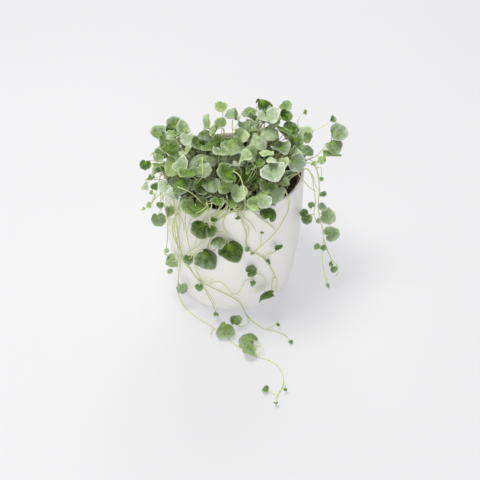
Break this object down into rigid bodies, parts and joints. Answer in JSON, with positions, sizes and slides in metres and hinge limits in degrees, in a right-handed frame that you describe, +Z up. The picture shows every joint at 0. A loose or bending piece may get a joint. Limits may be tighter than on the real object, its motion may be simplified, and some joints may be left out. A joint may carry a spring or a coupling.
{
  "type": "potted silver dichondra",
  "caption": "Small trailing foliage plant with round silvery-green leaves, mounded over and hanging from a plain white ceramic pot with a thin round rim.",
  "frame": {"origin": "centre of the cover pot's flat base, on the surface that it stands on", "axes": "+Z up, +X to the right of the reference view, +Y away from the viewer; the longest runner lies along -Y"},
  "size_m": [0.2019, 0.2742, 0.2092],
  "materials": {
    "white_ceramic": "satin glaze",
    "taupe_plastic": "matte",
    "potting_soil": "loose, matte",
    "silver_green_leaf": "soft silver hair"
  },
  "bodies": {
    "root": {"cover_pot": "white_ceramic", "grow_pot": "taupe_plastic", "soil": "potting_soil", "runner_front_long": "silver_green_leaf", "runner_front_fork": "silver_green_leaf", "runner_front_leafy": "silver_green_leaf", "runner_front_tangle": "silver_green_leaf", "runner_front_middle": "silver_green_leaf", "runner_front_right": "silver_green_leaf", "runner_front_hung_leaf": "silver_green_leaf", "runner_left_spray": "silver_green_leaf", "runner_left_drop": "silver_green_leaf", "runner_right_long": "silver_green_leaf", "runner_right_short": "silver_green_leaf", "runner_right_upper": "silver_green_leaf", "runner_right_back": "silver_green_leaf", "runner_back_1": "silver_green_leaf", "runner_back_2": "silver_green_leaf", "tuft_01": "silver_green_leaf", "tuft_02": "silver_green_leaf", "tuft_03": "silver_green_leaf", "tuft_04": "silver_green_leaf", "tuft_05": "silver_green_leaf", "tuft_06": "silver_green_leaf", "tuft_07": "silver_green_leaf", "tuft_08": "silver_green_leaf", "tuft_09": "silver_green_leaf", "tuft_10": "silver_green_leaf", "tuft_11": "silver_green_leaf", "tuft_12": "silver_green_leaf", "tuft_13": "silver_green_leaf"}
  },
  "joints": []
}
